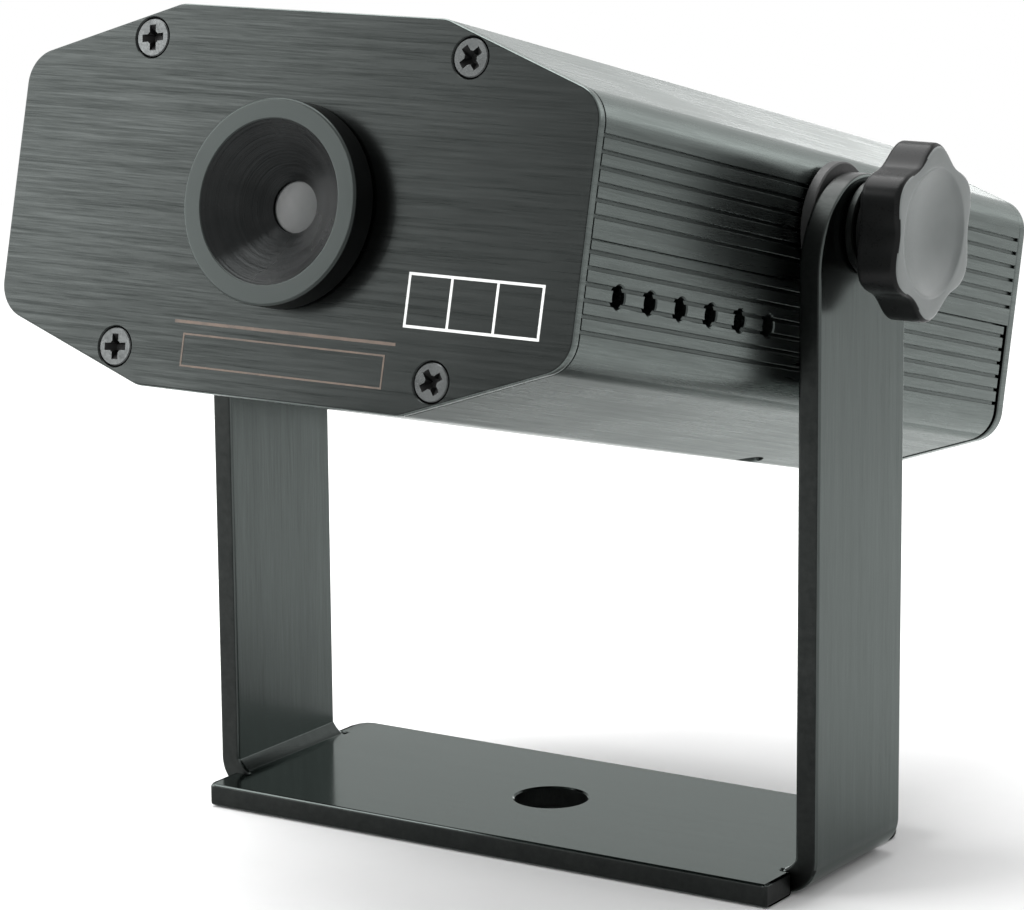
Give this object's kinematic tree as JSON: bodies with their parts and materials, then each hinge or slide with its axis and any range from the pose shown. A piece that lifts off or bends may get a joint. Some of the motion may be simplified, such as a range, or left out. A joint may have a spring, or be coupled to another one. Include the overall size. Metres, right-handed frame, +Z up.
{
  "type": "laser light projector",
  "caption": "Small stage laser projector: ribbed octagonal metal housing with a flared beam hood, tilting in a U-shaped yoke between lobed clamp knobs.",
  "frame": {"origin": "on the ground, under the centre of the object's outline; the yoke's plate lies on Z = 0", "axes": "+Z up, the light leaves towards -Y, +X towards the clamp knob that the picture shows; the tilt axis runs along X"},
  "size_m": [0.125, 0.1424, 0.1259],
  "materials": {
    "satin_aluminium": "satin, finely brushed",
    "dark_anodised": "dark grey anodised over brushed metal",
    "black_anodised": "black anodised, turned",
    "steel": "plated, satin",
    "brass": "turned",
    "black_plastic": "moulded, slight sheen",
    "white_plastic": "moulded",
    "board_green": "green solder resist over fibreglass board",
    "grey_rubber": "matt",
    "clear_glass": "clear, coated"
  },
  "bodies": {
    "yoke": {"yoke": "dark_anodised"},
    "housing": {"upper_shell": "dark_anodised", "lower_shell": "dark_anodised", "front_plate": "dark_anodised", "back_plate": "dark_anodised", "front_screw_1": "steel", "front_screw_2": "steel", "front_screw_3": "steel", "front_screw_4": "steel", "back_screw_1": "steel", "back_screw_2": "steel", "back_screw_3": "steel", "back_screw_4": "steel", "lens_hood": "black_anodised", "output_lens": "clear_glass", "hood_nut": "steel", "tray": "satin_aluminium", "grating_carrier": "satin_aluminium", "grating_motor": "steel", "green_laser": "brass", "green_laser_block": "satin_aluminium", "red_laser": "brass", "red_laser_block": "satin_aluminium", "mirror_post": "satin_aluminium", "mirror": "clear_glass", "fan_frame": "black_plastic", "fan_screw_1": "steel", "fan_screw_2": "steel", "fan_screw_3": "steel", "fan_screw_4": "steel", "control_board": "board_green", "power_jack": "black_plastic", "speed_control": "black_plastic", "mode_switch": "steel", "power_switch": "black_plastic", "microphone": "steel", "right_spacer": "grey_rubber", "left_spacer": "grey_rubber", "right_insert": "steel", "left_insert": "steel"},
    "right_clamp": {"right_washer": "steel"},
    "right_knob": {"right_knob": "black_plastic", "right_stud": "steel"},
    "left_clamp": {"left_washer": "steel"},
    "left_knob": {"left_knob": "black_plastic", "left_stud": "steel"},
    "fan_rotor": {"fan_rotor": "black_plastic"},
    "grating_wheel": {"grating_gear": "white_plastic", "grating_disc": "clear_glass"},
    "motor_pinion": {"motor_pinion": "brass"},
    "speed_knob": {"speed_knob": "black_plastic"},
    "mode_slider": {"mode_slider": "black_plastic"},
    "power_rocker": {"power_rocker": "black_plastic"}
  },
  "joints": [
    {"name": "tilt", "type": "hinge", "parent": "yoke", "child": "housing", "pos_m": [0, 0.0005, 0.0933], "axis": [1, 0, 0], "continuous": true},
    {"name": "right_clamp_slide", "type": "slide", "parent": "housing", "child": "right_clamp", "axis": [1, 0, 0], "range_m": [0, 0.002]},
    {"name": "right_knob_turn", "type": "hinge", "parent": "right_clamp", "child": "right_knob", "pos_m": [0.0535, 0.0005, 0.0933], "axis": [1, 0, 0], "range_deg": [0, 720]},
    {"name": "left_clamp_slide", "type": "slide", "parent": "housing", "child": "left_clamp", "axis": [-1, 0, 0], "range_m": [0, 0.002]},
    {"name": "left_knob_turn", "type": "hinge", "parent": "left_clamp", "child": "left_knob", "pos_m": [-0.0535, 0.0005, 0.0933], "axis": [-1, 0, 0], "range_deg": [0, 720]},
    {"name": "fan_spin", "type": "hinge", "parent": "housing", "child": "fan_rotor", "pos_m": [-0.02, 0.05055, 0.07247], "axis": [0, 0.9703, -0.2419], "continuous": true},
    {"name": "grating_spin", "type": "hinge", "parent": "housing", "child": "grating_wheel", "pos_m": [0, -0.05609, 0.09906], "axis": [0, 0.9703, -0.2419], "continuous": true},
    {"name": "pinion_spin", "type": "hinge", "parent": "housing", "child": "motor_pinion", "pos_m": [-0.01222, -0.05501, 0.10337], "axis": [0, 0.9703, -0.2419], "continuous": true},
    {"name": "speed_turn", "type": "hinge", "parent": "housing", "child": "speed_knob", "pos_m": [0.013, 0.0641, 0.07888], "axis": [0, 0.9703, -0.2419], "range_deg": [-150, 150]},
    {"name": "mode_slide", "type": "slide", "parent": "housing", "child": "mode_slider", "axis": [1, 0, 0], "range_m": [-0.002, 0.002]},
    {"name": "power_rock", "type": "hinge", "parent": "housing", "child": "power_rocker", "pos_m": [0.0285, 0.05916, 0.06775], "axis": [0, 0.2419, 0.9703], "range_deg": [0, 18]}
  ],
  "couplings": [
    {"joint": "right_clamp_slide", "follows": "right_knob_turn", "m_per_rad": 0.000159},
    {"joint": "left_clamp_slide", "follows": "left_knob_turn", "m_per_rad": 0.000159},
    {"joint": "pinion_spin", "follows": "grating_spin", "ratio": -3.3333}
  ]
}
